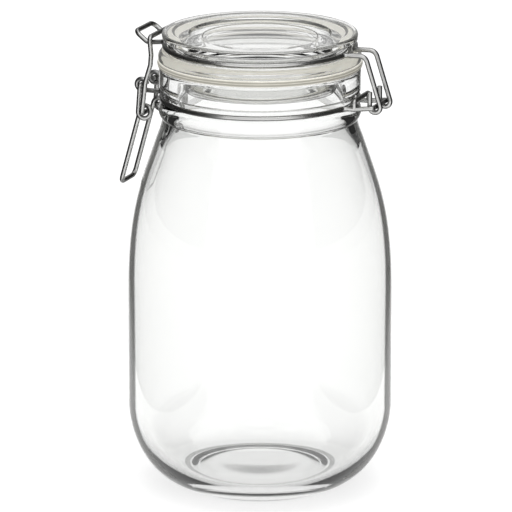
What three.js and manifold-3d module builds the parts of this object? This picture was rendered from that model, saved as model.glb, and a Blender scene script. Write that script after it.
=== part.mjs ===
// Clear glass storage jar with a hinged glass lid, a ring seal and a toggle clasp bent from round wire.
// Millimetres, +Z up. The hinge is on the +X side and the clasp on the -X side.
// The origin is under the middle of the whole jar, wires included, in the plane that it stands on.
// Each wire is one length, bent cold. The hoop under the rim has a short arch welded to it.
import * as THREE from 'three';
import { mergeVertices } from 'three/addons/utils/BufferGeometryUtils.js';
import Module from 'manifold-3d';

// The jar's axis, which the longer reach of the clasp sets off from the middle of the whole
const axisX = 2.75;

// Jar body
const bodyRadius = 65.2;
const wall = 3.2;
const baseThickness = 6.0;
const innerCrown = 2.2;
const footRadius = 38.6;
const footWidth = 3.2;
const pushUp = 3.6;
const heelWidth = 31.4;
const heelHeight = 42.4;
const shoulderZ = 98;
const waistZ = 184;
const waistRadius = 48;
const shoulderPull = 40;
const shoulderTurnOut = 3.2;
const shoulderTurnDrop = 10.2;
const neckPullOut = 10.9;
const neckPullDrop = 33;

// Neck, from the waist up to the rim
const throatRadius = 41.2;
const beadRadius = 49.6;
const beadHeight = 9.6;
const neckGrooveRadius = 46.7;
const neckGrooveHeight = 4;
const finishRadius = 49.4;
const finishHeight = 12.9;
const rimRound = 1.8;
const throatTurnOut = 5.2;
const throatTurnDrop = 11;

// Ring seal
const sealThickness = 2.9;
const sealRadius = 50.2;

// Lid
const plugTopRadius = 39.3;
const plugBottomRadius = 37.7;
const plugDepth = 13.8;
const plugRimWidth = 2.6;
const lidFlangeRadius = 49.8;
const lidFlangeHeight = 4.4;
const lidGrooveRadius = 45.1;
const lidGrooveHeight = 5.8;
const lidCapRadius = 47.9;
const lidCapHeight = 3.8;
const lidHollowHeight = 7.6;
const lidHollowRadius = 27.8;
const hollowTurnOut = 2;
const hollowTurnDrop = 6;
const lidRimInner = 43;
const lidLedgeDrop = 0.8;
const lidRingInner = 34.9;
const lidRingDrop = 1.5;
const lidDiscRadius = 28.4;
const lidDiscDrop = 0.4;
const plugRound = 1.2;
const flangeRoundBelow = 1;
const flangeRoundAbove = 2.4;
const capRoundBelow = 0.9;
const capRoundAbove = 1.6;

// Wires
const wireDiameter = 2.4;
const clearance = 0.3;
const hoopBend = 3;
const pinBend = 1.5;
const neckHoopLift = 1.7;
const lidHoopLift = 2.6;

// Clasp
const eyeReach = 9.6;
const eyeHalfSpacing = 8.4;
const eyeTurn = 262;
const pinTail = 2.4;
const togglePinIn = 2;
const togglePinDrop = 13.5;
const toggleLoopSlack = 0.6;
const handleReach = 13.5;
const handleDrop = 36.9;
const handleHalfWidth = 8.5;
const handleBend = 3;
const catchReach = 5;
const catchDip = 1;
const catchTipOut = 6.4;
const catchTipUp = 5;
const linkBarIn = 2.2;
const linkSlack = 0.9;
const linkSideGap = 0.6;
const linkLean = 2;
const crankStart = 16;
const crankEnd = 25;
const crankLength = 5;
const crankGap = 0.8;

// Hinge
const hingeReach = 13;
const hingeBarLift = 1.3;
const armHalfSpacing = 7;
const armReach = 7.5;
const armRise = 0.4;
const armBend = 4;
const hookTail = 7.3;
const hingeSideGap = 0.6;
const archReach = 3.5;
const archRise = 4.2;

// Fineness
const turnSegments = 48;
const wireSides = 8;
const hoopStep = 7.5;
const bendStep = 20;

// Heights that follow
const wireRadius = wireDiameter / 2;
const grooveZ = waistZ + beadHeight;
const finishZ = grooveZ + neckGrooveHeight;
const rimZ = finishZ + finishHeight;
const sealZ = rimZ + clearance;
const flangeZ = sealZ + sealThickness + clearance;
const lidGrooveZ = flangeZ + lidFlangeHeight;
const capZ = lidGrooveZ + lidGrooveHeight;
const lidTopZ = capZ + lidCapHeight;

// Solids

const wasm = await Module();
wasm.setup();

// Welds a geometry's shared corners, drops the slivers on the axis and turns its faces outward.
function closedSolid(geometry) {
  const bare = geometry.index ? geometry.toNonIndexed() : geometry;
  bare.deleteAttribute('normal');
  bare.deleteAttribute('uv');
  const welded = mergeVertices(bare, 1e-4);
  const index = welded.index.array;
  const kept = [];
  for (let i = 0; i < index.length; i += 3) {
    const [a, b, c] = [index[i], index[i + 1], index[i + 2]];
    if (a !== b && b !== c && c !== a) {
      kept.push(a, b, c);
    }
  }
  welded.setIndex(kept);
  if (signedVolume(welded) < 0) {
    for (let i = 0; i < kept.length; i += 3) {
      [kept[i], kept[i + 1]] = [kept[i + 1], kept[i]];
    }
    welded.setIndex(kept);
  }
  return welded;
}

function signedVolume(geometry) {
  const position = geometry.attributes.position;
  const index = geometry.index;
  const corner = (i) => new THREE.Vector3().fromBufferAttribute(position, index.getX(i));
  let total = 0;
  for (let i = 0; i < index.count; i += 3) {
    total += corner(i).dot(corner(i + 1).cross(corner(i + 2))) / 6;
  }
  return total;
}

function toManifold(geometry) {
  const vertProperties = new Float32Array(geometry.attributes.position.array);
  const triVerts = new Uint32Array(geometry.index.array);
  return new wasm.Manifold(new wasm.Mesh({ numProp: 3, vertProperties, triVerts }));
}

function joined(first, second) {
  const mesh = toManifold(first).add(toManifold(second)).getMesh();
  const geometry = new THREE.BufferGeometry();
  geometry.setAttribute('position', new THREE.BufferAttribute(mesh.vertProperties, 3));
  geometry.setIndex(Array.from(mesh.triVerts));
  return geometry;
}

// A turned solid: the profile runs counter-clockwise in (radius, height), outside going up.
function turned(profile) {
  const points = profile.filter((p, i) => i === 0 || p.distanceTo(profile[i - 1]) > 1e-6);
  const geometry = new THREE.LatheGeometry(points, turnSegments);
  geometry.rotateX(Math.PI / 2);
  return closedSolid(geometry);
}

const at = (r, z) => new THREE.Vector2(r, z);
const radians = THREE.MathUtils.degToRad;

function ellipseArc(r, z, halfWidth, halfHeight, from, to, count) {
  const clockwise = to < from;
  const curve = new THREE.EllipseCurve(r, z, halfWidth, halfHeight, radians(from), radians(to), clockwise);
  return curve.getPoints(count);
}

function bezier(start, first, second, end, count) {
  return new THREE.CubicBezierCurve(start, first, second, end).getPoints(count);
}

// The rounded outer edge at a corner: a lower edge starts at -90 degrees, an upper one at 0.
function roundedEdge(r, z, size, from, count) {
  const centreZ = from < 0 ? z + size : z - size;
  return ellipseArc(r - size, centreZ, size, size, from, from + 90, count);
}

// Wire paths

// A bent wire's centre line: straight runs keep two points and each bend gets its own.
class WireLine extends THREE.Curve {
  constructor(points) {
    super();
    this.points = points;
  }

  getSpacedPoints() {
    return this.points;
  }

  getPointAt(u, target = new THREE.Vector3()) {
    return target.copy(this.points[Math.round(u * (this.points.length - 1))]);
  }

  getTangentAt(u, target = new THREE.Vector3()) {
    const last = this.points.length - 1;
    const i = Math.round(u * last);
    const here = this.points[i];
    const inward = here.clone().sub(this.points[Math.max(i - 1, 0)]).normalize();
    const outward = this.points[Math.min(i + 1, last)].clone().sub(here).normalize();
    return target.addVectors(inward, outward).normalize();
  }
}

// A corner of a wire, with the radius that it is bent to. Points along a curve have no bend.
const bend = (x, y, z, radius = 0) => ({ point: new THREE.Vector3(x, y, z), radius });

function rounded(corners) {
  const points = [];
  corners.forEach(({ point, radius }, i) => {
    if (radius === 0 || i === 0 || i === corners.length - 1) {
      points.push(point);
      return;
    }
    const back = corners[i - 1].point.clone().sub(point);
    const ahead = corners[i + 1].point.clone().sub(point);
    const half = back.angleTo(ahead) / 2;
    const room = 0.98 * Math.min(back.length(), ahead.length());
    const reach = Math.min(radius / Math.tan(half), room);
    const size = reach * Math.tan(half);
    back.normalize();
    ahead.normalize();
    const axis = back.clone().add(ahead).normalize();
    const centre = point.clone().addScaledVector(axis, size / Math.sin(half));
    const start = point.clone().addScaledVector(back, reach).sub(centre);
    const turn = Math.PI - 2 * half;
    const normal = start.clone().cross(point.clone().addScaledVector(ahead, reach).sub(centre)).normalize();
    const count = Math.max(2, Math.ceil(turn / radians(bendStep)));
    for (let k = 0; k <= count; k += 1) {
      points.push(start.clone().applyAxisAngle(normal, (turn * k) / count).add(centre));
    }
  });
  return points.filter((p, i) => i === 0 || p.distanceTo(points[i - 1]) > 1e-3);
}

function wire(corners) {
  const points = rounded(corners);
  const section = new THREE.Shape();
  for (let k = 0; k < wireSides; k += 1) {
    const angle = (2 * Math.PI * (k + 0.5)) / wireSides;
    const method = k === 0 ? 'moveTo' : 'lineTo';
    section[method](wireRadius * Math.cos(angle), wireRadius * Math.sin(angle));
  }
  section.closePath();
  const extrudePath = new WireLine(points);
  const steps = points.length - 1;
  return closedSolid(new THREE.ExtrudeGeometry(section, { steps, extrudePath, curveSegments: 1 }));
}

// The wire's other half, mirrored in the XZ plane and walked the other way.
function mirrored(corners) {
  const flip = ({ point, radius }) => bend(point.x, -point.y, point.z, radius);
  return [...corners, ...corners.map(flip).reverse()];
}

// An arc in a plane of constant Y, or a coil where the Y values at its two ends differ.
function curl(x, z, radius, from, to, startY, endY = startY) {
  const count = Math.ceil(Math.abs(to - from) / bendStep);
  const corners = [];
  for (let k = 0; k <= count; k += 1) {
    const share = k / count;
    const angle = radians(from + (to - from) * share);
    const y = THREE.MathUtils.lerp(startY, endY, THREE.MathUtils.smoothstep(share, 0.1, 0.9));
    corners.push(bend(x + radius * Math.cos(angle), y, z + radius * Math.sin(angle)));
  }
  return corners;
}

// Half of a hoop on the -Y side, from the clasp to the hinge, between legs at two half spacings.
function halfHoop(radius, z, claspHalf, hingeHalf) {
  const from = Math.asin(claspHalf / radius);
  const to = Math.PI - Math.asin(hingeHalf / radius);
  const count = Math.round((to - from) / radians(hoopStep));
  const corners = [];
  for (let k = 0; k <= count; k += 1) {
    const angle = THREE.MathUtils.lerp(from, to, k / count);
    const radiusHere = k === 0 || k === count ? hoopBend : 0;
    corners.push(bend(-radius * Math.cos(angle), -radius * Math.sin(angle), z, radiusHere));
  }
  return corners;
}

const toDegrees = (x, z) => THREE.MathUtils.radToDeg(Math.atan2(z, x));

// The angle on a circle where a straight run from a point outside it touches, on either side.
function touchAngle(pointX, pointZ, x, z, radius, side) {
  const reach = Math.hypot(pointX - x, pointZ - z);
  return toDegrees(pointX - x, pointZ - z) + side * THREE.MathUtils.radToDeg(Math.acos(radius / reach));
}

// Glass and seal

function jarProfile() {
  const heelRadius = bodyRadius - heelWidth;
  const heelStart = THREE.MathUtils.radToDeg(Math.asin((footRadius - heelRadius) / heelWidth)) + 5;
  const beadPull = (8 * beadRadius - waistRadius - neckGrooveRadius) / 6;
  const inside = bodyRadius - wall;
  const mouth = throatRadius + rimRound;
  const shoulderTurn = at(waistRadius + shoulderTurnOut, waistZ - shoulderTurnDrop);
  const throatTurn = at(throatRadius + throatTurnOut, waistZ - throatTurnDrop);
  return [
    at(0, pushUp),
    ...bezier(
      at(0.5 * footRadius, pushUp),
      at(0.75 * footRadius, pushUp),
      at(footRadius - footWidth - 2, 0.5),
      at(footRadius - footWidth, 0),
      4,
    ),
    at(footRadius, 0),
    ...ellipseArc(heelRadius, heelHeight, heelWidth, heelHeight, -90 + heelStart, 0, 9),
    ...bezier(
      at(bodyRadius, shoulderZ),
      at(bodyRadius, shoulderZ + shoulderPull),
      at(waistRadius + neckPullOut, waistZ - neckPullDrop),
      shoulderTurn,
      9,
    ),
    ...bezier(
      shoulderTurn,
      at(waistRadius + 1.9, waistZ - 6.3),
      at(waistRadius, waistZ - 3),
      at(waistRadius, waistZ + 1),
      3,
    ),
    ...bezier(
      at(waistRadius, waistZ + 1),
      at(beadPull, waistZ + 3.2),
      at(beadPull, grooveZ - 1),
      at(neckGrooveRadius, grooveZ),
      6,
    ),
    ...ellipseArc(finishRadius, finishZ, finishRadius - neckGrooveRadius, 2, 180, 90, 2),
    ...roundedEdge(finishRadius, rimZ, rimRound, 0, 3),
    ...ellipseArc(mouth, rimZ - rimRound, rimRound, rimRound, 90, 180, 3),
    ...bezier(
      at(throatRadius, waistZ + 6),
      at(throatRadius, waistZ - 2),
      at(throatRadius + 2.6, waistZ - 6),
      throatTurn,
      4,
    ),
    ...bezier(
      throatTurn,
      at(throatRadius + 13.6, waistZ - neckPullDrop - 1),
      at(inside, shoulderZ + shoulderPull - 1.5),
      at(inside, shoulderZ),
      8,
    ),
    ...ellipseArc(heelRadius, heelHeight, heelWidth - wall, heelHeight - baseThickness, 0, -90, 7),
    at(0.5 * heelRadius, baseThickness + 0.8 * innerCrown),
    at(0, baseThickness + innerCrown),
  ];
}

function lidProfile() {
  const plugZ = flangeZ - plugDepth;
  const hollowZ = flangeZ + lidHollowHeight;
  const innerPlug = plugBottomRadius - plugRimWidth;
  const ledgeZ = lidTopZ - lidLedgeDrop;
  const ringZ = ledgeZ - lidRingDrop;
  const discZ = ringZ - lidDiscDrop;
  return [
    at(0, hollowZ),
    ...bezier(
      at(lidHollowRadius, hollowZ),
      at(lidHollowRadius + hollowTurnOut, hollowZ),
      at(lidHollowRadius + hollowTurnOut, hollowZ - hollowTurnDrop),
      at(innerPlug, plugZ + 0.8),
      5,
    ),
    at(innerPlug + 1, plugZ),
    ...roundedEdge(plugBottomRadius, plugZ, plugRound, -90, 3),
    at(plugTopRadius, rimZ),
    at(plugTopRadius, flangeZ),
    ...roundedEdge(lidFlangeRadius, flangeZ, flangeRoundBelow, -90, 3),
    ...roundedEdge(lidFlangeRadius, lidGrooveZ, flangeRoundAbove, 0, 3),
    at(lidGrooveRadius + 0.5, lidGrooveZ + 0.2),
    at(lidGrooveRadius, lidGrooveZ + 0.7),
    at(lidGrooveRadius, capZ - 0.7),
    at(lidGrooveRadius + 0.5, capZ - 0.2),
    ...roundedEdge(lidCapRadius, capZ, capRoundBelow, -90, 2),
    ...roundedEdge(lidCapRadius, lidTopZ, capRoundAbove, 0, 4),
    at(lidRimInner, lidTopZ),
    at(lidRimInner - 1.4, ledgeZ),
    at(lidRingInner, ledgeZ),
    at(lidRingInner - 0.7, ringZ),
    at(lidDiscRadius, ringZ),
    at(lidDiscRadius - 0.6, discZ),
    at(0, discZ),
  ];
}

function sealProfile() {
  const half = sealThickness / 2;
  const inside = plugTopRadius + 2 * clearance;
  return [
    at(inside, sealZ),
    ...ellipseArc(sealRadius - 0.8, sealZ + half, 0.8, half, -90, 90, 4),
    at(inside, sealZ + sealThickness),
    at(inside, sealZ),
  ];
}

// Wires: where they meet

const neckHoop = neckGrooveRadius + clearance + wireRadius;
const neckHoopZ = grooveZ + neckHoopLift;
const lidHoop = lidGrooveRadius + clearance + wireRadius;
const lidHoopZ = lidGrooveZ + lidHoopLift;
const wirePitch = wireDiameter + clearance;

const pivotX = -(finishRadius + eyeReach);
const pivotZ = neckHoopZ + wirePitch;
const toggleX = pivotX + togglePinIn;
const toggleZ = pivotZ - togglePinDrop;
const stemHalf = eyeHalfSpacing + wirePitch;
const linkHalf = stemHalf + wirePitch;
const catchHalf = linkHalf - wireDiameter - linkSideGap;
const catchX = -(lidFlangeRadius + catchReach);
const catchZ = lidHoopZ - catchDip;
const linkTopX = catchX + linkBarIn;
const linkTopZ = catchZ + wireDiameter + linkSlack;

const hingeX = finishRadius + hingeReach;
const hingeZ = neckHoopZ + hingeBarLift;
const hingeHalf = armHalfSpacing + wireDiameter + hingeSideGap;
const archX = finishRadius + archReach;

// Hoop under the rim: an eye at each clasp end, and two legs with the hinge bar between them.
function neckWire() {
  const eye = curl(pivotX, pivotZ, wirePitch, 270 - eyeTurn, 270, -eyeHalfSpacing);
  const half = [
    ...eye,
    ...halfHoop(neckHoop, neckHoopZ, eyeHalfSpacing, hingeHalf),
    bend(archX, -hingeHalf, neckHoopZ),
    bend(hingeX, -hingeHalf, hingeZ, pinBend),
  ];
  const archTop = neckHoopZ + archRise;
  const arch = mirrored([bend(archX, -hingeHalf, neckHoopZ), bend(archX, -hingeHalf, archTop, pinBend)]);
  return joined(wire(mirrored(half)), wire(arch));
}

// Hoop in the lid's groove: hooks round the hinge bar on one side, the turned-up catch on the other.
function lidWire() {
  const armX = lidFlangeRadius + armReach;
  const armZ = lidHoopZ + armRise;
  const start = touchAngle(armX, armZ, hingeX, hingeZ, wirePitch, -1);
  const hook = curl(hingeX, hingeZ, wirePitch, -180, start, -armHalfSpacing);
  const half = [
    bend(hingeX - wirePitch, -armHalfSpacing, hingeZ + hookTail),
    ...hook,
    bend(armX, -armHalfSpacing, armZ, armBend),
    ...halfHoop(lidHoop, lidHoopZ, catchHalf, armHalfSpacing).reverse(),
    bend(catchX, -catchHalf, catchZ, hoopBend),
    bend(catchX - catchTipOut, -catchHalf, catchZ + catchTipUp, hoopBend),
  ];
  return wire(mirrored(half));
}

// Toggle lever: pins in the eyes, a stem, one full coil for the link's pin, then the finger loop.
function leverWire() {
  const coil = wirePitch + toggleLoopSlack - clearance;
  const tipX = toggleX - handleReach;
  const tipZ = toggleZ - handleDrop;
  const enter = touchAngle(pivotX, pivotZ, toggleX, toggleZ, coil, 1);
  const leave = touchAngle(tipX, tipZ, toggleX, toggleZ, coil, -1) + 360;
  const full = leave < enter + 180 ? leave + 360 : leave;
  const half = [
    bend(pivotX, -(eyeHalfSpacing - pinTail), pivotZ),
    bend(pivotX, -stemHalf, pivotZ, pinBend),
    ...curl(toggleX, toggleZ, coil, enter, full, -stemHalf, -(stemHalf - wirePitch)),
    bend(tipX, -handleHalfWidth, tipZ, handleBend),
  ];
  return wire(mirrored(half));
}

// Link: pins in the lever's coils, legs cranked in past the seal, and the bar that holds the catch down.
function linkWire() {
  const crankX = -(sealRadius + wireRadius + crankGap);
  const half = [
    bend(toggleX, -(eyeHalfSpacing - pinTail), toggleZ),
    bend(toggleX, -linkHalf, toggleZ, pinBend),
    bend(toggleX + linkLean, -linkHalf, toggleZ + crankStart, hoopBend),
    bend(crankX, -linkHalf, toggleZ + crankEnd, hoopBend),
    bend(crankX + 0.4, -linkHalf, toggleZ + crankEnd + crankLength, hoopBend),
    bend(linkTopX, -linkHalf, linkTopZ, pinBend + 0.7),
  ];
  return wire(mirrored(half));
}

// The jar

const glassColour = { color: 0xe4ecea, roughness: 0.04, metalness: 0, transparent: true, opacity: 0.35 };
const sealColour = { color: 0xd9d5c6, roughness: 0.55, metalness: 0 };
const steelColour = { color: 0xc9cccf, roughness: 0.2, metalness: 1 };

function piece(name, geometry, colours) {
  geometry.translate(axisX, 0, 0);
  geometry.computeVertexNormals();
  const mesh = new THREE.Mesh(geometry, new THREE.MeshStandardMaterial(colours));
  mesh.name = name;
  return mesh;
}

const jar = new THREE.Group();
jar.add(piece('jar_glass', turned(jarProfile()), glassColour));
jar.add(piece('neck_wire', neckWire(), steelColour));

const lid = new THREE.Group();
lid.add(piece('lid_glass', turned(lidProfile()), glassColour));
lid.add(piece('seal', turned(sealProfile()), sealColour));
lid.add(piece('lid_wire', lidWire(), steelColour));

const clasp = new THREE.Group();
clasp.add(piece('lever', leverWire(), steelColour));
clasp.add(piece('link', linkWire(), steelColour));

const assembly = new THREE.Group();
assembly.add(jar, lid, clasp);

export default assembly;
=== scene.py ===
"""Clear glass storage jar with a hinged lid, a ring seal and a wire toggle clasp, on a pale floor."""

import logging
import math
from dataclasses import dataclass, field
from enum import Enum
from typing import Dict, Iterable, List, Optional, Sequence, Tuple, Union

import bpy
from mathutils import Matrix, Vector


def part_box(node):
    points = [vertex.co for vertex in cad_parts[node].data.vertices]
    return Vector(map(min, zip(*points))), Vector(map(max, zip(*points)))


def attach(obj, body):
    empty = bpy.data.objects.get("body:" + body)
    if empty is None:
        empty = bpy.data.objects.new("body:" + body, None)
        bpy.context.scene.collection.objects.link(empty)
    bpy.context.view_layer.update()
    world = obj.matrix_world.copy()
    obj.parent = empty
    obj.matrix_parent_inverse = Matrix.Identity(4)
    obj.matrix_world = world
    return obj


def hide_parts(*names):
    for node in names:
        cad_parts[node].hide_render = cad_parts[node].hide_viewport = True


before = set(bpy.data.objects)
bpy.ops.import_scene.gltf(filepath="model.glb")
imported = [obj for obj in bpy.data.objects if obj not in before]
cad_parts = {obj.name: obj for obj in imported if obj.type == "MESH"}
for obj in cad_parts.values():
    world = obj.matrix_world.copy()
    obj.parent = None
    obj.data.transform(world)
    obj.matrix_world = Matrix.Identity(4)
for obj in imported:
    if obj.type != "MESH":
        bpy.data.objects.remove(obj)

LOG = logging.getLogger("jar")
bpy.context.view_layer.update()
MM = 0.001
AXIS = Vector(((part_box("jar_glass")[0][0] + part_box("jar_glass")[1][0]) / 2, 0.0, 0.0))
SKIN = "outer_skin"
ROUNDS = "tight_rounds"
TURN_STEPS = 160
SMOOTH_WIRE = math.radians(50)

Number = Union[int, float]
Pair = Tuple[float, float]
Colour = Tuple[float, float, float]

BLACK: Colour = (0.0, 0.0, 0.0)
FAINT: Colour = (0.1, 0.1, 0.1)
WHITE: Colour = (1.0, 1.0, 1.0)


class Body(Enum):
    """Rigid groups that pieces ride on."""

    JAR = "jar"
    LID = "lid"
    LEVER = "lever"
    LINK = "link"


class Node(Enum):
    """Solids of the frame, which are also the record's finish slots."""

    JAR_GLASS = "jar_glass"
    NECK_WIRE = "neck_wire"
    LID_GLASS = "lid_glass"
    SEAL = "seal"
    LID_WIRE = "lid_wire"
    LEVER = "lever"
    LINK = "link"


@dataclass(frozen=True)
class Corner:
    """A corner of a wire or a profile, in millimetres from the jar's axis.

    Attributes:
        x: Place along X, or the radius on a profile.
        y: Place along Y.
        z: Height.
        bend: Radius that the corner is rounded to. Zero keeps the point.
    """

    x: float
    y: float
    z: float
    bend: float = 0.0

    @property
    def point(self) -> Vector:
        """The corner as a vector."""
        return Vector((self.x, self.y, self.z))

    def flipped(self) -> "Corner":
        """The same corner on the other side of the XZ plane."""
        return Corner(self.x, -self.y, self.z, self.bend)


def at(radius: float, height: float, bend: float = 0.0) -> Corner:
    """A corner of a turned profile."""
    return Corner(radius, 0.0, height, bend)


def bezier(start: Corner, first: Corner, second: Corner, end: Corner, count: int) -> List[Corner]:
    """Points on a cubic curve in a profile.

    Args:
        start: First point.
        first: First handle.
        second: Second handle.
        end: Last point.
        count: Number of spans.

    Returns:
        The curve's points, both ends included.
    """
    points = []
    for k in range(count + 1):
        t = k / count
        s = 1.0 - t
        place = start.point * s**3 + first.point * 3 * s * s * t
        place = place + second.point * 3 * s * t * t + end.point * t**3
        points.append(at(place.x, place.z))
    return points


def arc(
    radius: float, height: float, wide: float, tall: float, start: float, end: float, count: int
) -> List[Corner]:
    """Points on an ellipse in a profile.

    Args:
        radius: Centre's radius.
        height: Centre's height.
        wide: Half width.
        tall: Half height.
        start: First angle, in degrees.
        end: Last angle, in degrees.
        count: Number of spans.

    Returns:
        The arc's points, both ends included.
    """
    points = []
    for k in range(count + 1):
        angle = math.radians(start + (end - start) * k / count)
        points.append(at(radius + wide * math.cos(angle), height + tall * math.sin(angle)))
    return points


def rounded(corners: Sequence[Corner], step: float = 9.0) -> List[Vector]:
    """Rounds the corners of a path.

    Args:
        corners: The path's corners, in millimetres.
        step: Largest turn between two points of a bend, in degrees.

    Returns:
        The path's points in the frame, in metres.
    """
    points: List[Vector] = []
    for i, corner in enumerate(corners):
        here = corner.point
        if corner.bend == 0.0 or i in (0, len(corners) - 1):
            points.append(here)
            continue
        back = corners[i - 1].point - here
        ahead = corners[i + 1].point - here
        half = back.angle(ahead) / 2
        reach = min(corner.bend / math.tan(half), 0.98 * min(back.length, ahead.length))
        size = reach * math.tan(half)
        back.normalize()
        ahead.normalize()
        centre = here + (back + ahead).normalized() * (size / math.sin(half))
        start = here + back * reach - centre
        axis = start.cross(here + ahead * reach - centre).normalized()
        turn = math.pi - 2 * half
        count = max(2, math.ceil(math.degrees(turn) / step))
        for k in range(count + 1):
            points.append(centre + Matrix.Rotation(turn * k / count, 3, axis) @ start)
    kept = [p for i, p in enumerate(points) if i == 0 or (p - points[i - 1]).length > 1e-3]
    return [AXIS + p * MM for p in kept]


class Bench:
    """Bpy operators, in the order that a modeller would use them by hand."""

    @staticmethod
    def start(name: str, place: Vector) -> bpy.types.Object:
        """Adds a small plane and merges it to one vertex, ready to be drawn out.

        Args:
            name: Name of the new piece.
            place: Where the vertex lies, in metres.

        Returns:
            The new object, in edit mode.
        """
        bpy.ops.object.select_all(action="DESELECT")
        bpy.ops.mesh.primitive_plane_add(size=MM, location=place)
        piece = bpy.context.object
        piece.name = name
        piece.data.name = name
        bpy.ops.object.transform_apply(location=True, rotation=True, scale=True)
        bpy.ops.object.mode_set(mode="EDIT")
        bpy.ops.mesh.select_all(action="SELECT")
        bpy.ops.mesh.merge(type="CENTER")
        return piece

    @staticmethod
    def draw(points: Iterable[Vector]) -> None:
        """Extrudes the one selected vertex along a path.

        Args:
            points: The path, its first point being where the vertex is.
        """
        path = list(points)
        for before, after in zip(path, path[1:]):
            bpy.ops.mesh.extrude_region_move(TRANSFORM_OT_translate={"value": after - before})

    @staticmethod
    def turn(name: str, profile: Sequence[Corner], steps: int, sharp: float = 40.0) -> bpy.types.Object:
        """Spins a profile round the jar's axis.

        Args:
            name: Name of the new piece.
            profile: Closed profile, or one that starts and ends on the axis.
            steps: Number of steps in the turn.
            sharp: Angle over which an edge stays sharp, in degrees.

        Returns:
            The turned piece, in object mode.
        """
        points = rounded(profile)
        piece = Bench.start(name, points[0])
        Bench.draw(points)
        bpy.ops.mesh.select_all(action="SELECT")
        bpy.ops.mesh.spin(steps=steps, angle=2 * math.pi, center=AXIS, axis=(0, 0, 1))
        bpy.ops.mesh.select_all(action="SELECT")
        bpy.ops.mesh.remove_doubles(threshold=2e-6)
        bpy.ops.mesh.normals_make_consistent(inside=False)
        bpy.ops.object.mode_set(mode="OBJECT")
        bpy.ops.object.shade_smooth_by_angle(angle=math.radians(sharp))
        return piece

    @staticmethod
    def mark_skin(piece: bpy.types.Object, least: float = 0.75, steps_above: float = math.inf) -> None:
        """Marks the faces that look away from the axis, where the glass gets its painted shade.

        Args:
            piece: A turned piece.
            least: Least outward part of a marked face's normal.
            steps_above: Height over which steps that look inward are marked too, in millimetres.
        """
        marks = piece.data.attributes.new(SKIN, "FLOAT", "POINT")
        values = []
        for vertex in piece.data.vertices:
            away = (vertex.co - AXIS).to_2d()
            outward = vertex.normal.to_2d().dot(away.normalized()) if away.length > 0.0 else 0.0
            if vertex.co.z > steps_above * MM:
                outward = abs(outward)
            values.append(1.0 if outward > least else 0.0)
        marks.data.foreach_set("value", values)

    @staticmethod
    def mark_rounds(
        piece: bpy.types.Object, below: float, above: float, least: float = 0.4, most: float = 0.85
    ) -> None:
        """Marks the tight rounds of a turned piece's steps, which the glass paints with shade for the light
        that they bend away.

        Args:
            piece: A turned piece.
            below: Height under which rounds are marked, in millimetres.
            above: Height over which rounds are marked, in millimetres.
            least: Least level part of a marked round's normal.
            most: Greatest level part of it.
        """
        marks = piece.data.attributes.new(ROUNDS, "FLOAT", "POINT")
        values = []
        for vertex in piece.data.vertices:
            sloped = least < vertex.normal.to_2d().length < most
            values.append(1.0 if sloped and not below < vertex.co.z / MM < above else 0.0)
        marks.data.foreach_set("value", values)

    @staticmethod
    def bent_wire(name: str, corners: Sequence[Corner], thickness: float) -> bpy.types.Object:
        """Draws a wire's centre line, gives it a round section and eases its cut ends.

        Args:
            name: Name of the new piece.
            corners: The wire's corners, in millimetres.
            thickness: The wire's diameter, in millimetres.

        Returns:
            The wire as a closed mesh, in object mode.
        """
        points = rounded(corners)
        piece = Bench.start(name, points[0])
        Bench.draw(points)
        bpy.ops.object.mode_set(mode="OBJECT")
        bpy.ops.object.convert(target="CURVE")
        line = bpy.context.object.data
        line.dimensions = "3D"
        line.bevel_depth = thickness * MM / 2
        line.bevel_resolution = 6
        line.use_fill_caps = True
        bpy.ops.object.convert(target="MESH")
        piece = bpy.context.object
        bpy.ops.object.mode_set(mode="EDIT")
        bpy.ops.mesh.select_all(action="SELECT")
        bpy.ops.mesh.remove_doubles(threshold=1e-6)
        bpy.ops.mesh.normals_make_consistent(inside=False)
        bpy.ops.object.mode_set(mode="OBJECT")
        ease = piece.modifiers.new("cut_ends", "BEVEL")
        ease.limit_method = "ANGLE"
        ease.angle_limit = math.radians(60)
        ease.width = 0.3 * MM
        ease.segments = 3
        bpy.ops.object.modifier_apply(modifier=ease.name)
        bpy.ops.object.shade_smooth_by_angle(angle=SMOOTH_WIRE)
        return piece

    @staticmethod
    def weld(piece: bpy.types.Object, other: bpy.types.Object) -> None:
        """Joins another closed mesh into a piece, as a weld does.

        Args:
            piece: The piece that stays.
            other: The piece that goes into it.
        """
        bpy.ops.object.select_all(action="DESELECT")
        piece.select_set(True)
        bpy.context.view_layer.objects.active = piece
        union = piece.modifiers.new("weld", "BOOLEAN")
        union.operation = "UNION"
        union.object = other
        union.solver = "EXACT"
        bpy.ops.object.modifier_apply(modifier=union.name)
        bpy.data.objects.remove(other)
        bpy.ops.object.shade_smooth_by_angle(angle=SMOOTH_WIRE)


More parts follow.
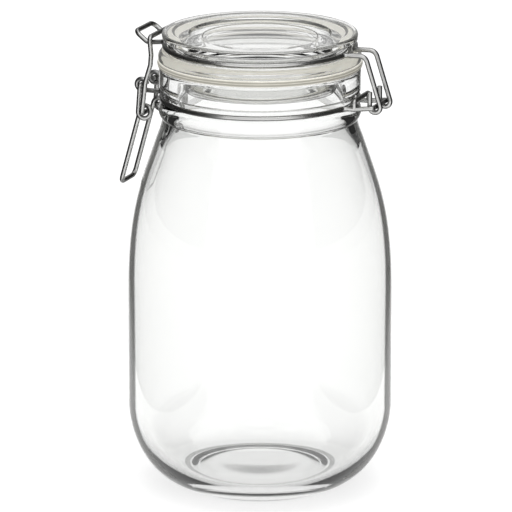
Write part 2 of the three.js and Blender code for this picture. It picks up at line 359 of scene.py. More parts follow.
class Socket:
    """A value in a node tree, with the arithmetic that shader maths needs."""

    def __init__(self, shader: "Shader", socket: bpy.types.NodeSocket) -> None:
        """Wraps a node's output."""
        self.shader = shader
        self.socket = socket

    def _with(self, operation: str, *values: Union["Socket", Number]) -> "Socket":
        """Adds one Math node on these values."""
        sockets = {i: value for i, value in enumerate(values)}
        return self.shader.node("ShaderNodeMath", {"operation": operation}, sockets)

    def __add__(self, other: Union["Socket", Number]) -> "Socket":
        """Sum."""
        return self._with("ADD", self, other)

    __radd__ = __add__

    def __sub__(self, other: Union["Socket", Number]) -> "Socket":
        """Difference."""
        return self._with("SUBTRACT", self, other)

    def __rsub__(self, other: Number) -> "Socket":
        """Difference, with the number first."""
        return self._with("SUBTRACT", other, self)

    def __mul__(self, other: Union["Socket", Number]) -> "Socket":
        """Product."""
        return self._with("MULTIPLY", self, other)

    __rmul__ = __mul__

    def size(self) -> "Socket":
        """The value without its sign."""
        return self._with("ABSOLUTE", self)

    def above(self, other: Number) -> "Socket":
        """One where this is greater, else nought."""
        return self._with("GREATER_THAN", self, other)

    def below(self, other: Number) -> "Socket":
        """One where this is less, else nought."""
        return self._with("LESS_THAN", self, other)

    def root(self) -> "Socket":
        """Square root."""
        return self._with("SQRT", self)

    def cosine(self) -> "Socket":
        """Cosine, of radians."""
        return self._with("COSINE", self)

    def angle_from(self, other: "Socket") -> "Socket":
        """Angle of the point (other, self) round the origin."""
        return self._with("ARCTAN2", self, other)


class Shader:
    """A material's or the world's node tree."""

    def __init__(self, tree: bpy.types.NodeTree) -> None:
        """Takes over a tree and empties it."""
        self.tree = tree
        tree.nodes.clear()

    def node(
        self,
        kind: str,
        settings: Optional[Dict[str, object]] = None,
        inputs: Optional[Dict[Union[str, int], object]] = None,
        output: Union[str, int] = 0,
    ) -> Socket:
        """Adds a node.

        Args:
            kind: The node's type.
            settings: Properties, set first. "stops" gives a ramp's places and colours.
            inputs: Values or links of its sockets, by name or number.
            output: The output that is wanted.

        Returns:
            That output.
        """
        made = self.tree.nodes.new(kind)
        for key, value in (settings or {}).items():
            if key == "stops":
                self._stops(made.color_ramp, value)
            else:
                setattr(made, key, value)
        for key, value in (inputs or {}).items():
            if isinstance(value, Socket):
                self.tree.links.new(value.socket, made.inputs[key])
            else:
                made.inputs[key].default_value = value
        return Socket(self, made.outputs[output]) if len(made.outputs) else Socket(self, None)

    @staticmethod
    def _stops(ramp: bpy.types.ColorRamp, stops: Sequence[Tuple[float, Sequence[float]]]) -> None:
        """Sets a ramp's stops."""
        while len(ramp.elements) < len(stops):
            ramp.elements.new(1.0)
        for element, (place, colour) in zip(ramp.elements, stops):
            element.position = place
            element.color = (*colour, 1.0)

    def place(self) -> Socket:
        """Object coordinates, in metres from the jar's axis."""
        vector = self.node("ShaderNodeTexCoord", output="Object")
        return self.node("ShaderNodeVectorMath", {"operation": "SUBTRACT"}, {0: vector, 1: AXIS})

    def split(self, vector: Socket) -> Tuple[Socket, Socket, Socket]:
        """A vector's three parts."""
        outputs = self.node("ShaderNodeSeparateXYZ", None, {"Vector": vector}).socket.node.outputs
        return Socket(self, outputs[0]), Socket(self, outputs[1]), Socket(self, outputs[2])

    def noise(self, vector: Socket, scale: float, detail: float = 2.0) -> Socket:
        """Noise from nought to one, at a scale given per metre."""
        return self.node("ShaderNodeTexNoise", None, {"Vector": vector, "Scale": scale, "Detail": detail})

    def ramp(self, value: Socket, stops: Sequence[Tuple[float, Sequence[float]]]) -> Socket:
        """A colour ramp over a value."""
        return self.node("ShaderNodeValToRGB", {"stops": stops}, {"Fac": value})

    def bump(self, height: Socket, strength: float, distance: float) -> Socket:
        """A bumped normal."""
        inputs = {"Height": height, "Strength": strength, "Distance": distance}
        return self.node("ShaderNodeBump", None, inputs)

    def coat(self, inputs: Dict[str, object]) -> Socket:
        """A Principled shader, with these values or links of its sockets."""
        return self.node("ShaderNodeBsdfPrincipled", None, inputs)

    def surface(self, shader: Socket) -> None:
        """Ends the tree in a shader."""
        self.node("ShaderNodeOutputMaterial", None, {"Surface": shader})


def new_shader(name: str) -> Tuple[bpy.types.Material, Shader]:
    """A new material and its emptied tree."""
    material = bpy.data.materials.new(name)
    material.use_nodes = True
    return material, Shader(material.node_tree)


@dataclass(frozen=True)
class ClearGlass:
    """Pressed clear glass, a little wavy, with painted shade: dark edges where the wall is seen end on, on
    tight rounds and on the stipple's dots, and a greyer tone towards the sides.

    Attributes:
        name: Material name.
        tint: Colour of the glass where it is seen square on.
        shade: Painted shade, the colour that the outer skin turns to towards the sides.
        edge: Painted shade, a dark colour mixed over the clear glass where the wall is seen end on, on
            tight rounds and on the stipple's dots.
        edge_shade_cover: Share of that colour on the outer skin.
        round_shade_cover: Share of it on tight rounds.
        dot_shade_cover: Share of it on the stipple's dots.
        ring_inner: Inner radius of the stippled ring, in millimetres.
        ring_outer: Outer radius of the stippled ring, in millimetres.
        ring_top: Height that the stipple reaches, in millimetres.
        dots: Stipple dots round the ring. Nought leaves the ring plain.
        waves: Scale of the large waves, per metre.
        ripples: Scale of the small ones.
    """

    name: str
    tint: Colour = (0.955, 0.958, 0.953)
    shade: Colour = (0.82, 0.825, 0.815)
    edge: Colour = (0.1, 0.1, 0.095)
    edge_shade_cover: float = 0.92
    round_shade_cover: float = 0.6
    dot_shade_cover: float = 0.95
    ring_inner: float = 36.4
    ring_outer: float = 39.8
    ring_top: float = 2.4
    dots: int = 0
    waves: float = 26.0
    ripples: float = 140.0

    def material(self) -> bpy.types.Material:
        """Makes the material."""
        material, shader = new_shader(self.name)
        vector = shader.place()
        x, y, z = shader.split(vector)
        facing = shader.node("ShaderNodeLayerWeight", None, {"Blend": 0.5}, "Facing")
        skin = shader.node("ShaderNodeAttribute", {"attribute_name": SKIN}, output="Fac")
        # Painted shade: a band of Layer Weight where the wall is seen nearly end on, for the dark edges.
        turned = shader.ramp(
            facing,
            [
                (0.68, BLACK),
                (0.715, WHITE),
                (0.85, WHITE),
                (0.91, FAINT),
            ],
        )
        # Painted shade: the outer skin's colour greys towards the sides.
        tone = shader.ramp(facing * skin, [(0.1, self.tint), (0.68, self.shade)])
        height = shader.noise(vector, self.waves, 1.0) + 0.12 * shader.noise(vector, self.ripples)
        rounds = shader.node("ShaderNodeAttribute", {"attribute_name": ROUNDS}, output="Fac")
        outside = 1.0 - shader.node("ShaderNodeNewGeometry", output="Backfacing")
        # Painted shade over the clear glass: dark edges where the outer skin is seen nearly end on from
        # outside, and dark tight rounds.
        painted_shade_cover = self.edge_shade_cover * (skin * turned * outside) + self.round_shade_cover * rounds
        if self.dots:
            radius = (x * x + y * y).root()
            ring = radius.above(self.ring_inner * MM) * radius.below(self.ring_outer * MM)
            ring = ring * z.below(self.ring_top * MM)
            # The stipple's dots are real bumps; their darkness is painted shade.
            dots = (y.angle_from(x) * float(self.dots)).cosine().above(-0.2) * ring
            height = height + dots
            painted_shade_cover = painted_shade_cover + self.dot_shade_cover * dots
        clear = shader.coat(
            {
                "Base Color": tone,
                "Roughness": 0.0,
                "IOR": 1.5,
                "Transmission Weight": 1.0,
                "Normal": shader.bump(height, 0.05, 0.0006),
            }
        )
        # The painted shade itself: a dark, slightly mottled coat.
        lighter = tuple(1.25 * c for c in self.edge)
        grey = shader.ramp(shader.noise(vector, 60.0), [(0.3, self.edge), (0.7, lighter)])
        dark = shader.coat({"Base Color": grey, "Roughness": 0.25, "Specular IOR Level": 0.1})
        shader.surface(shader.node("ShaderNodeMixShader", None, {0: painted_shade_cover, 1: clear, 2: dark}))
        return material


@dataclass(frozen=True)
class DrawnSteel:
    """Bright stainless wire, with the faint grain of the drawing die, its colour painted lighter along the
    middle of each wire (painted highlight) and darker towards its sides (painted shade).

    Attributes:
        name: Material name.
        light: Painted highlight, the colour along the middle of the wire.
        painted_side_shade: Painted shade, the colour where the round of the wire turns away.
    """

    name: str = "drawn_steel"
    light: Colour = (0.62, 0.62, 0.61)
    painted_side_shade: Colour = (0.26, 0.26, 0.255)

    def material(self) -> bpy.types.Material:
        """Makes the material."""
        material, shader = new_shader(self.name)
        vector = shader.place()
        patches = shader.noise(vector, 160.0, 3.0)
        grain = shader.noise(vector, 2600.0, 2.0)
        facing = shader.node("ShaderNodeLayerWeight", None, {"Blend": 0.5}, "Facing")
        # Painted highlight and shade: the colour runs from the light one along the middle of the wire to
        # the darker one towards its sides, by Layer Weight, with a little random patchiness.
        turned = facing + 0.12 * patches - 0.06
        inputs = {
            "Base Color": shader.ramp(turned, [(0.08, self.light), (0.24, self.painted_side_shade)]),
            "Metallic": 1.0,
            "Roughness": 0.2 + 0.16 * patches,
            "Specular Tint": (0.5, 0.5, 0.5, 1.0),
            "Normal": shader.bump(grain, 0.12, 0.00005),
        }
        shader.surface(shader.coat(inputs))
        return material


@dataclass(frozen=True)
class SealRubber:
    """Off-white rubber with a matt skin and a little bloom, its flats painted lighter than its shaded outer
    side, and its flats given a painted glow for the light that reaches them through the glass.

    Attributes:
        name: Material name.
        pale: Colour of the flats, which are painted as lit.
        edge: Painted shade, the colour of the outer side.
        warm: Painted shade, the darkest colour of the outer side, in patches where the bloom is thin.
        glow: Light that the flats get through the glass on them.
    """

    name: str = "seal_rubber"
    pale: Colour = (0.88, 0.86, 0.78)
    edge: Colour = (0.35, 0.335, 0.285)
    warm: Colour = (0.31, 0.295, 0.25)
    glow: float = 0.33

    def material(self) -> bpy.types.Material:
        """Makes the material."""
        material, shader = new_shader(self.name)
        vector = shader.place()
        bloom = shader.noise(vector, 90.0, 4.0)
        skin = shader.noise(vector, 1500.0, 2.0)
        level = shader.split(shader.node("ShaderNodeTexCoord", output="Normal"))[2].size()
        # Painted light and shade: the flats, which face up and down, are pale and the outer side is darker,
        # with the bloom's noise mixed in.
        stops = [(0.1, self.warm), (0.35, self.edge), (0.95, self.pale)]
        colour = shader.ramp(level + 0.2 * bloom, stops)
        # Painted light: the flats glow, for the light that reaches them through the glass.
        glow = shader.ramp(level, [(0.7, BLACK), (0.95, self.pale)])
        inputs = {
            "Base Color": colour,
            "Roughness": 0.5 + 0.15 * bloom,
            "Emission Color": glow,
            "Emission Strength": self.glow,
            "Normal": shader.bump(skin, 0.25, 0.0001),
        }
        shader.surface(shader.coat(inputs))
        return material


@dataclass(frozen=True)
class PaleFloor:
    """Plain white floor.

    Attributes:
        name: Material name.
        colour: Floor colour.
        glow: Light of its own, as of a lit table, which keeps the shadow soft.
    """

    name: str = "pale_floor"
    colour: Colour = (0.3, 0.3, 0.3)
    glow: float = 2.5

    def material(self) -> bpy.types.Material:
        """Makes the material."""
        material, shader = new_shader(self.name)
        vector = shader.place()
        tone = shader.noise(vector, 1.5, 2.0)
        darker = tuple(0.98 * c for c in self.colour)
        colour = shader.ramp(tone, [(0.3, darker), (0.7, self.colour)])
        glow = {"Emission Color": colour, "Emission Strength": self.glow}
        shader.surface(shader.coat({"Base Color": colour, "Roughness": 0.8, **glow}))
        return material


@dataclass(frozen=True)
class BlackFelt:
    """Black felt on the studio's cards.

    Attributes:
        name: Material name.
        colour: Felt colour.
    """

    name: str = "black_felt"
    colour: Colour = (0.05, 0.05, 0.05)

    def material(self) -> bpy.types.Material:
        """Makes the material."""
        material, shader = new_shader(self.name)
        nap = shader.noise(shader.place(), 300.0, 2.0)
        lighter = tuple(1.4 * c for c in self.colour)
        colour = shader.ramp(nap, [(0.3, self.colour), (0.7, lighter)])
        inputs = {"Base Color": colour, "Roughness": 0.95, "Specular IOR Level": 0.05}
        shader.surface(shader.coat(inputs))
        return material


def dress(piece: bpy.types.Object, finish: bpy.types.Material, node: Node, body: Body) -> bpy.types.Object:
    """Gives a piece its finish and its place in the frame.

    Args:
        piece: The finished mesh.
        finish: Its material.
        node: The solid that it stands for.
        body: The body that it rides on.

    Returns:
        The piece.
    """
    piece.data.materials.clear()
    piece.data.materials.append(finish)
    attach(piece, body.value)
    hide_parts(node.value)
    LOG.info("%s: %d faces, on %s", piece.name, len(piece.data.polygons), body.value)
    return piece


@dataclass
class GlassJar:
    """The jar's glass, in millimetres."""

    body_radius: float = 65.2
    wall: float = 3.2
    base: float = 6.0
    crown: float = 2.2
    foot_radius: float = 38.6
    foot_width: float = 3.2
    push_up: float = 3.6
    heel_width: float = 31.4
    heel_height: float = 42.4
    shoulder_z: float = 98.0
    waist_z: float = 184.0
    waist_radius: float = 48.0
    throat_radius: float = 41.2
    bead_radius: float = 49.6
    groove_z: float = 193.6
    groove_radius: float = 46.7
    finish_z: float = 197.6
    finish_radius: float = 49.4
    rim_z: float = 210.5
    rim_round: float = 1.8
    shoulder_pull: float = 40.0
    neck_pull_out: float = 10.9
    neck_pull_drop: float = 33.0
    turn_out: float = 3.2
    turn_drop: float = 10.2
    inner_pull: float = 38.5
    throat_pull_out: float = 13.6
    throat_turn_out: float = 5.2
    throat_turn_drop: float = 11.0

    def underside(self) -> List[Corner]:
        """The pushed-up base, from the axis to the standing ring.

        Returns:
            The profile's first points.
        """
        inner = self.foot_radius - self.foot_width
        return [
            at(0, self.push_up),
            *bezier(
                at(0.5 * self.foot_radius, self.push_up),
                at(0.75 * self.foot_radius, self.push_up),
                at(inner - 2, 0.5),
                at(inner, 0),
                14,
            ),
        ]

    def outside(self) -> List[Corner]:
        """The outside from the standing ring to the finish band.

        Returns:
            The profile's middle points.
        """
        heel = self.body_radius - self.heel_width
        start = math.degrees(math.asin((self.foot_radius - heel) / self.heel_width)) + 5 - 90
        waist, top = self.waist_radius, self.waist_z
        pull = (8 * self.bead_radius - waist - self.groove_radius) / 6
        turn = at(waist + self.turn_out, top - self.turn_drop)
        return [
            at(self.foot_radius, 0),
            *arc(heel, self.heel_height, self.heel_width, self.heel_height, start, 0, 30),
            *bezier(
                at(self.body_radius, self.shoulder_z),
                at(self.body_radius, self.shoulder_z + self.shoulder_pull),
                at(waist + self.neck_pull_out, top - self.neck_pull_drop),
                turn,
                30,
            ),
            *bezier(turn, at(waist + 1.9, top - 6.3), at(waist, top - 3), at(waist, top + 1), 9),
            *bezier(
                at(waist, top + 1),
                at(pull, top + 3.2),
                at(pull, self.groove_z - 1),
                at(self.groove_radius, self.groove_z),
                14,
            ),
            *arc(self.finish_radius, self.finish_z, self.finish_radius - self.groove_radius, 2, 180, 90, 7),
        ]

    def inside(self) -> List[Corner]:
        """The rim and the inside, back down to the axis.

        Returns:
            The profile's last points.
        """
        lip = self.finish_radius - self.rim_round
        mouth = self.throat_radius + self.rim_round
        edge = self.rim_z - self.rim_round
        inner = self.body_radius - self.wall
        heel = self.body_radius - self.heel_width
        wide = self.heel_width - self.wall
        turn = at(self.throat_radius + self.throat_turn_out, self.waist_z - self.throat_turn_drop)
        return [
            *arc(lip, edge, self.rim_round, self.rim_round, 0, 90, 9),
            *arc(mouth, edge, self.rim_round, self.rim_round, 90, 180, 9),
            *bezier(
                at(self.throat_radius, self.waist_z + 6),
                at(self.throat_radius, self.waist_z - 2),
                at(self.throat_radius + 2.6, self.waist_z - 6),
                turn,
                12,
            ),
            *bezier(
                turn,
                at(self.throat_radius + self.throat_pull_out, self.waist_z - self.neck_pull_drop - 1),
                at(inner, self.shoulder_z + self.inner_pull),
                at(inner, self.shoulder_z),
                28,
            ),
            *arc(heel, self.heel_height, wide, self.heel_height - self.base, 0, -90, 26),
            *bezier(
                at(heel, self.base),
                at(0.7 * heel, self.base),
                at(0.5 * heel, self.base + self.crown),
                at(0, self.base + self.crown),
                10,
            ),
        ]

    def build(self, glass: bpy.types.Material) -> bpy.types.Object:
        """Turns and dresses the jar.

        Args:
            glass: The jar's finish.

        Returns:
            The jar.
        """
        profile = [*self.underside(), *self.outside(), *self.inside()]
        piece = Bench.turn("jar_body", profile, TURN_STEPS)
        Bench.mark_skin(piece)
        return dress(piece, glass, Node.JAR_GLASS, Body.JAR)


@dataclass
class GlassLid:
    """The lid's glass, in millimetres."""

    flange_z: float = 214.0
    plug_top: float = 39.3
    plug_bottom: float = 37.7
    plug_depth: float = 13.8
    plug_rim: float = 2.6
    rim_z: float = 210.5
    flange_radius: float = 49.8
    flange_height: float = 4.4
    groove_radius: float = 45.1
    groove_height: float = 5.8
    cap_radius: float = 47.9
    cap_height: float = 3.8
    under_height: float = 7.6
    under_radius: float = 27.8
    hollow_turn_out: float = 2.0
    hollow_turn_drop: float = 6.0
    rim_inner: float = 43.0
    ledge_drop: float = 0.8
    ring_inner: float = 34.9
    ring_drop: float = 1.5
    disc_radius: float = 28.4
    disc_drop: float = 0.4

    def profile(self) -> List[Corner]:
        """The lid's section.

        Returns:
            The profile, from the axis below to the axis above.
        """
        plug_z = self.flange_z - self.plug_depth
        under_z = self.flange_z + self.under_height
        inner = self.plug_bottom - self.plug_rim
        turn = self.under_radius + self.hollow_turn_out
        groove_z = self.flange_z + self.flange_height
        cap_z = groove_z + self.groove_height
        top = cap_z + self.cap_height
        ledge_z = top - self.ledge_drop
        ring_z = ledge_z - self.ring_drop
        return [
            at(0, under_z),
            *bezier(
                at(self.under_radius, under_z),
                at(turn, under_z),
                at(turn, under_z - self.hollow_turn_drop),
                at(inner, plug_z + 0.8),
                14,
            ),
            at(inner + 1, plug_z, 0.8),
            at(self.plug_bottom, plug_z, 1.2),
            at(self.plug_top, self.rim_z, 2.0),
            at(self.plug_top, self.flange_z, 0.5),
            at(self.flange_radius, self.flange_z, 1.0),
            at(self.flange_radius, groove_z, 2.4),
            at(self.groove_radius, groove_z, 0.8),
            at(self.groove_radius, cap_z, 0.8),
            at(self.cap_radius, cap_z, 0.9),
            at(self.cap_radius, top, 1.6),
            at(self.rim_inner, top, 1.2),
            at(self.rim_inner - 1.4, ledge_z, 1.2),
            at(self.ring_inner, ledge_z, 0.5),
            at(self.ring_inner - 0.7, ring_z, 0.5),
            at(self.disc_radius, ring_z, 0.4),
            at(self.disc_radius - 0.6, ring_z - self.disc_drop, 0.4),
            at(0, ring_z - self.disc_drop),
        ]

    def build(self, glass: bpy.types.Material) -> bpy.types.Object:
        """Turns and dresses the lid.

        Args:
            glass: The lid's finish.

        Returns:
            The lid.
        """
        piece = Bench.turn("lid_top", self.profile(), TURN_STEPS)
        plug_edge = self.flange_z - self.plug_depth + 0.7
        lowest_step = self.flange_z + self.under_height + 1.0
        Bench.mark_skin(piece, 0.3, lowest_step)
        Bench.mark_rounds(piece, plug_edge, lowest_step)
        return dress(piece, glass, Node.LID_GLASS, Body.LID)


@dataclass
class RingSeal:
    """The ring seal, in millimetres."""

    inner: float = 39.9
    outer: float = 50.2
    bottom: float = 210.8
    thickness: float = 3.26
    line: float = 0.15
    line_half: float = 0.18
    edge_round: float = 1.0
    inner_round: float = 0.4

    def build(self, rubber: bpy.types.Material) -> bpy.types.Object:
        """Turns and dresses the seal, with its moulding line round the edge.

        Args:
            rubber: The seal's finish.

        Returns:
            The seal.
        """
        top = self.bottom + self.thickness
        middle = (self.bottom + top) / 2
        edge = self.outer - self.line
        profile = [
            at(self.inner, middle),
            at(self.inner, self.bottom, self.inner_round),
            at(edge, self.bottom, self.edge_round),
            at(edge, middle - self.line_half),
            at(self.outer, middle),
            at(edge, middle + self.line_half),
            at(edge, top, self.edge_round),
            at(self.inner, top, self.inner_round),
            at(self.inner, middle),
        ]
        piece = Bench.turn("ring_seal", profile, TURN_STEPS)
        return dress(piece, rubber, Node.SEAL, Body.LID)


@dataclass
class WireSet:
    """Sizes that the four wires share, in millimetres."""

    thickness: float = 2.4
    pitch: float = 2.7
    hoop_bend: float = 3.0
    pin_bend: float = 1.5
    neck_hoop: float = 48.2
    neck_z: float = 195.3
    lid_hoop: float = 46.6
    lid_z: float = 221.0
    pivot: Pair = (-59.0, 198.0)
    toggle: Pair = (-57.0, 184.5)
    hinge: Pair = (62.4, 196.6)
    eye_half: float = 8.4
    stem_half: float = 11.1
    link_half: float = 13.8
    catch_half: float = 10.8
    arm_half: float = 7.0
    hinge_half: float = 10.0
    pin_tail: float = 2.4

    @staticmethod
    def both(corners: Sequence[Corner]) -> List[Corner]:
        """A wire's near half, then the same half mirrored and walked back."""
        return [*corners, *(c.flipped() for c in reversed(corners))]

    @staticmethod
    def curl(
        centre: Pair, radius: float, start: float, end: float, y: float, end_y: Optional[float] = None
    ) -> List[Corner]:
        """A turn of wire, or a coil where the two ends lie at different Y.

        Args:
            centre: X and Z of its centre.
            radius: Radius of its centre line.
            start: First angle, in degrees.
            end: Last angle, in degrees.
            y: Y at its start.
            end_y: Y at its end.

        Returns:
            The turn's points.
        """
        last = y if end_y is None else end_y
        count = math.ceil(abs(end - start) / 9)
        points = []
        for k in range(count + 1):
            share = k / count
            angle = math.radians(start + (end - start) * share)
            t = min(max((share - 0.1) / 0.8, 0.0), 1.0)
            here = y + (last - y) * t * t * (3 - 2 * t)
            x, z = centre[0] + radius * math.cos(angle), centre[1] + radius * math.sin(angle)
            points.append(Corner(x, here, z))
        return points

    def half_hoop(self, radius: float, z: float, clasp_half: float, hinge_half: float) -> List[Corner]:
        """Half of a hoop on the -Y side, from the clasp to the hinge.

        Args:
            radius: Radius of its centre line.
            z: Its height.
            clasp_half: Half spacing of the legs at the clasp.
            hinge_half: Half spacing of the legs at the hinge.

        Returns:
            The hoop's points, its two ends bent into the legs.
        """
        start = math.asin(clasp_half / radius)
        end = math.pi - math.asin(hinge_half / radius)
        count = 48
        first, last = start + math.radians(6), end - math.radians(6)
        run = [first + (last - first) * k / count for k in range(count + 1)]
        angles = [start, *run, end]
        points = []
        for k, angle in enumerate(angles):
            bend = self.hoop_bend if k in (0, len(angles) - 1) else 0.0
            points.append(Corner(-radius * math.cos(angle), -radius * math.sin(angle), z, bend))
        return points

    @staticmethod
    def touch(point: Pair, centre: Pair, radius: float, side: int) -> float:
        """Angle where a straight run from a point touches a circle.

        Args:
            point: X and Z of the point.
            centre: X and Z of the circle's centre.
            radius: The circle's radius.
            side: 1 or -1, for the two tangents.

        Returns:
            The angle, in degrees.
        """
        across, up = point[0] - centre[0], point[1] - centre[1]
        reach = math.hypot(across, up)
        return math.degrees(math.atan2(up, across) + side * math.acos(radius / reach))


@dataclass
class NeckWire:
    """The hoop under the rim, in millimetres."""

    wires: WireSet = field(default_factory=WireSet)
    eye_turn: float = 262.0
    arch_x: float = 52.9
    arch_rise: float = 4.2

    def build(self, steel: bpy.types.Material) -> bpy.types.Object:
        """Bends and dresses the hoop, with its eyes, hinge bar and arch.

        Args:
            steel: The wire's finish.

        Returns:
            The hoop.
        """
        w = self.wires
        half = [
            *w.curl(w.pivot, w.pitch, 270 - self.eye_turn, 270, -w.eye_half),
            *w.half_hoop(w.neck_hoop, w.neck_z, w.eye_half, w.hinge_half),
            Corner(self.arch_x, -w.hinge_half, w.neck_z),
            Corner(w.hinge[0], -w.hinge_half, w.hinge[1], w.pin_bend),
        ]
        piece = Bench.bent_wire("neck_hoop", w.both(half), w.thickness)
        arch = [
            Corner(self.arch_x, -w.hinge_half, w.neck_z),
            Corner(self.arch_x, -w.hinge_half, w.neck_z + self.arch_rise, w.pin_bend),
        ]
        Bench.weld(piece, Bench.bent_wire("hinge_arch", w.both(arch), w.thickness))
        return dress(piece, steel, Node.NECK_WIRE, Body.JAR)


@dataclass
class LidWire:
    """The hoop in the lid's groove, in millimetres."""

    wires: WireSet = field(default_factory=WireSet)
    arm: Pair = (57.3, 221.4)
    arm_bend: float = 4.0
    hook_tail: float = 7.3
    catch: Pair = (-54.8, 220.0)
    tip: Pair = (-61.2, 225.0)

    def build(self, steel: bpy.types.Material) -> bpy.types.Object:
        """Bends and dresses the hoop, with its hooks and its catch.

        Args:
            steel: The wire's finish.

        Returns:
            The hoop.
        """
        w = self.wires
        start = w.touch(self.arm, w.hinge, w.pitch, -1)
        half = [
            Corner(w.hinge[0] - w.pitch, -w.arm_half, w.hinge[1] + self.hook_tail),
            *w.curl(w.hinge, w.pitch, -180, start, -w.arm_half),
            Corner(self.arm[0], -w.arm_half, self.arm[1], self.arm_bend),
            *reversed(w.half_hoop(w.lid_hoop, w.lid_z, w.catch_half, w.arm_half)),
            Corner(self.catch[0], -w.catch_half, self.catch[1], w.hoop_bend),
            Corner(self.tip[0], -w.catch_half, self.tip[1], w.hoop_bend),
        ]
        piece = Bench.bent_wire("lid_hoop", w.both(half), w.thickness)
        return dress(piece, steel, Node.LID_WIRE, Body.LID)


@dataclass
class ToggleLever:
    """The lever, in millimetres."""

    wires: WireSet = field(default_factory=WireSet)
    coil: float = 3.0
    tip: Pair = (-70.5, 147.6)
    tip_half: float = 8.5
    tip_bend: float = 3.0

    def build(self, steel: bpy.types.Material) -> bpy.types.Object:
        """Bends and dresses the lever, with its pins, coils and finger loop.

        Args:
            steel: The wire's finish.

        Returns:
            The lever.
        """
        w = self.wires
        enter = w.touch(w.pivot, w.toggle, self.coil, 1)
        leave = w.touch(self.tip, w.toggle, self.coil, -1) + 360
        if leave < enter + 180:
            leave += 360
        x, z = w.pivot
        half = [
            Corner(x, -(w.eye_half - w.pin_tail), z),
            Corner(x, -w.stem_half, z, w.pin_bend),
            *w.curl(w.toggle, self.coil, enter, leave, -w.stem_half, -w.eye_half),
            Corner(self.tip[0], -self.tip_half, self.tip[1], self.tip_bend),
        ]
        piece = Bench.bent_wire("toggle_lever", w.both(half), w.thickness)
        return dress(piece, steel, Node.LEVER, Body.LEVER)


@dataclass
class PullLink:
    """The link from the lever to the catch, in millimetres."""

    wires: WireSet = field(default_factory=WireSet)
    crank_x: float = -52.2
    top: Pair = (-52.6, 223.3)
    lean: float = 2.0
    crank_start: float = 16.0
    crank_end: float = 25.0
    crank_length: float = 5.0

    def build(self, steel: bpy.types.Material) -> bpy.types.Object:
        """Bends and dresses the link.

        Args:
            steel: The wire's finish.

        Returns:
            The link.
        """
        w = self.wires
        x, z = w.toggle
        half = [
            Corner(x, -(w.eye_half - w.pin_tail), z),
            Corner(x, -w.link_half, z, w.pin_bend),
            Corner(x + self.lean, -w.link_half, z + self.crank_start, w.hoop_bend),
            Corner(self.crank_x, -w.link_half, z + self.crank_end, w.hoop_bend),
            Corner(self.crank_x + 0.4, -w.link_half, z + self.crank_end + self.crank_length, w.hoop_bend),
            Corner(self.top[0], -w.link_half, self.top[1], w.pin_bend + 0.7),
        ]
        piece = Bench.bent_wire("pull_link", w.both(half), w.thickness)
        return dress(piece, steel, Node.LINK, Body.LINK)


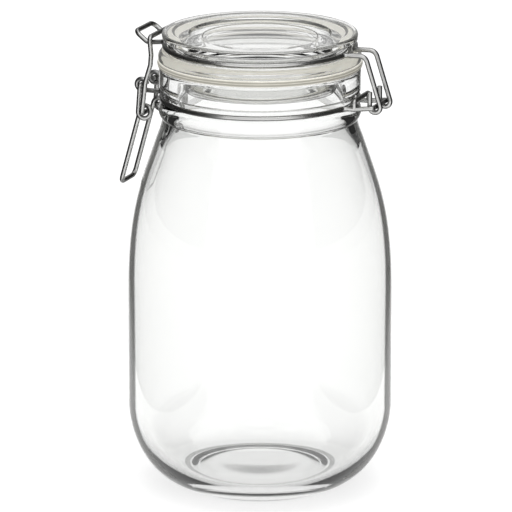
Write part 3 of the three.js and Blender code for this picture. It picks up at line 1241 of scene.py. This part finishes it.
@dataclass
class Studio:
    """White set, soft lights and the photograph's camera."""

    azimuth: float = 21.5
    distance: float = 2.4
    height: float = 0.756
    aside: float = 0.00197
    pitch: float = 14.968
    lens: float = 354.38
    floor_radius: float = 7.0
    floor_rim: float = 0.5
    floor_gap: float = 0.0002
    card_aside: float = 0.2
    card_front: float = 0.2
    card_back: float = 0.4
    card_height: float = 0.5
    dark_near: float = 0.58
    dark_far: float = 0.12
    dark_low: float = 0.08
    dark_high: float = 0.7
    dark_depth: float = 0.97
    top_light: float = 0.9

    def camera(self) -> None:
        """Makes the camera at the photograph's viewing angle."""
        a = math.radians(self.azimuth)
        data = bpy.data.cameras.new("photo_camera")
        data.lens = self.lens
        data.sensor_width = 36.0
        data.clip_end = 60.0
        camera = bpy.data.objects.new("photo_camera", data)
        back = Vector((math.sin(a), -math.cos(a), 0.0))
        right = Vector((math.cos(a), math.sin(a), 0.0))
        camera.location = AXIS + back * self.distance - right * self.aside + Vector((0, 0, self.height))
        camera.rotation_euler = (math.radians(90 - self.pitch), 0.0, a)
        bpy.context.scene.collection.objects.link(camera)
        bpy.context.scene.camera = camera

    def floor(self) -> None:
        """Makes the floor, a wide disc just clear of the standing ring."""
        bpy.ops.object.select_all(action="DESELECT")
        place = (0.0, 0.0, -self.floor_gap)
        bpy.ops.mesh.primitive_circle_add(
            vertices=96, radius=self.floor_radius, fill_type="NGON", location=place
        )
        floor = bpy.context.object
        floor.name = "floor"
        bpy.ops.object.mode_set(mode="EDIT")
        bpy.ops.mesh.select_all(action="SELECT")
        bpy.ops.mesh.inset(thickness=self.floor_rim, depth=0.0)
        bpy.ops.object.mode_set(mode="OBJECT")
        floor.data.materials.append(PaleFloor().material())

    def sky(self) -> None:
        """Makes the white surround, with a dark zone at each side and more light above."""
        world = bpy.data.worlds.new("white_set")
        bpy.context.scene.world = world
        world.use_nodes = True
        shader = Shader(world.node_tree)
        way = shader.node("ShaderNodeTexCoord", output="Generated")
        x, y, z = shader.split(way)
        a = math.radians(self.azimuth)
        side = x * math.cos(a) + y * math.sin(a)
        ahead = y * math.cos(a) - x * math.sin(a)
        reach = self.dark_near - (self.dark_near - self.dark_far) * ahead.above(0.0)
        dark = (side * side - reach).above(0.0) * z.above(self.dark_low) * z.below(self.dark_high)
        glow = 1.0 + self.top_light * z.above(self.dark_high) - self.dark_depth * dark
        light = shader.node("ShaderNodeBackground", None, {"Strength": glow})
        shader.node("ShaderNodeOutputWorld", None, {"Surface": light})

    def cards(self) -> None:
        """Makes a black card at each side, which only reflections show, for dark edges on the glass."""
        a = math.radians(self.azimuth)
        right = Vector((math.cos(a), math.sin(a), 0.0))
        back = Vector((math.sin(a), -math.cos(a), 0.0))
        middle = AXIS + back * (self.card_front - self.card_back) / 2 + Vector((0, 0, self.card_height / 2))
        felt = BlackFelt().material()
        for name, side in (("card_left", -1), ("card_right", 1)):
            bpy.ops.object.select_all(action="DESELECT")
            bpy.ops.mesh.primitive_cube_add(
                size=1.0,
                location=middle + right * side * self.card_aside,
                rotation=(0.0, 0.0, a),
                scale=(0.004, self.card_front + self.card_back, self.card_height),
            )
            card = bpy.context.object
            card.name = name
            bpy.ops.object.transform_apply(location=True, rotation=True, scale=True)
            bpy.ops.object.mode_set(mode="EDIT")
            bpy.ops.mesh.select_all(action="SELECT")
            bpy.ops.mesh.bevel(offset=0.001, segments=2)
            bpy.ops.object.mode_set(mode="OBJECT")
            card.data.materials.append(felt)
            card.visible_camera = False
            card.visible_diffuse = False
            card.visible_transmission = False
            card.visible_shadow = False

    def lamps(self) -> None:
        """Makes the soft box overhead and the fill from the camera's side."""
        for name, place, size, power in (
            ("overhead", (0.0, 0.0, 1.6), 1.4, 14.0),
            ("fill", (0.9, -1.6, 1.1), 1.0, 8.0),
        ):
            data = bpy.data.lights.new(name, "AREA")
            data.shape = "DISK"
            data.size = size
            data.energy = power
            lamp = bpy.data.objects.new(name, data)
            lamp.location = place
            lamp.visible_glossy = False
            lamp.visible_transmission = False
            lamp.rotation_euler = (-Vector(place)).to_track_quat("-Z", "Y").to_euler()
            bpy.context.scene.collection.objects.link(lamp)

    def build(self) -> None:
        """Makes the whole set."""
        self.camera()
        self.floor()
        self.sky()
        self.cards()
        self.lamps()
        bpy.context.scene.view_settings.view_transform = "Standard"


def main() -> None:
    """Builds the set and the jar."""
    logging.basicConfig(level=logging.INFO, format="%(name)s: %(message)s")
    Studio().build()
    glass = ClearGlass("jar_glass", dots=200).material()
    lid_glass = ClearGlass("lid_glass", tint=(0.91, 0.912, 0.9)).material()
    steel = DrawnSteel().material()
    rubber = SealRubber().material()
    GlassJar().build(glass)
    GlassLid().build(lid_glass)
    RingSeal().build(rubber)
    NeckWire().build(steel)
    LidWire().build(steel)
    ToggleLever().build(steel)
    PullLink().build(steel)


if __name__ == "__main__":
    main()
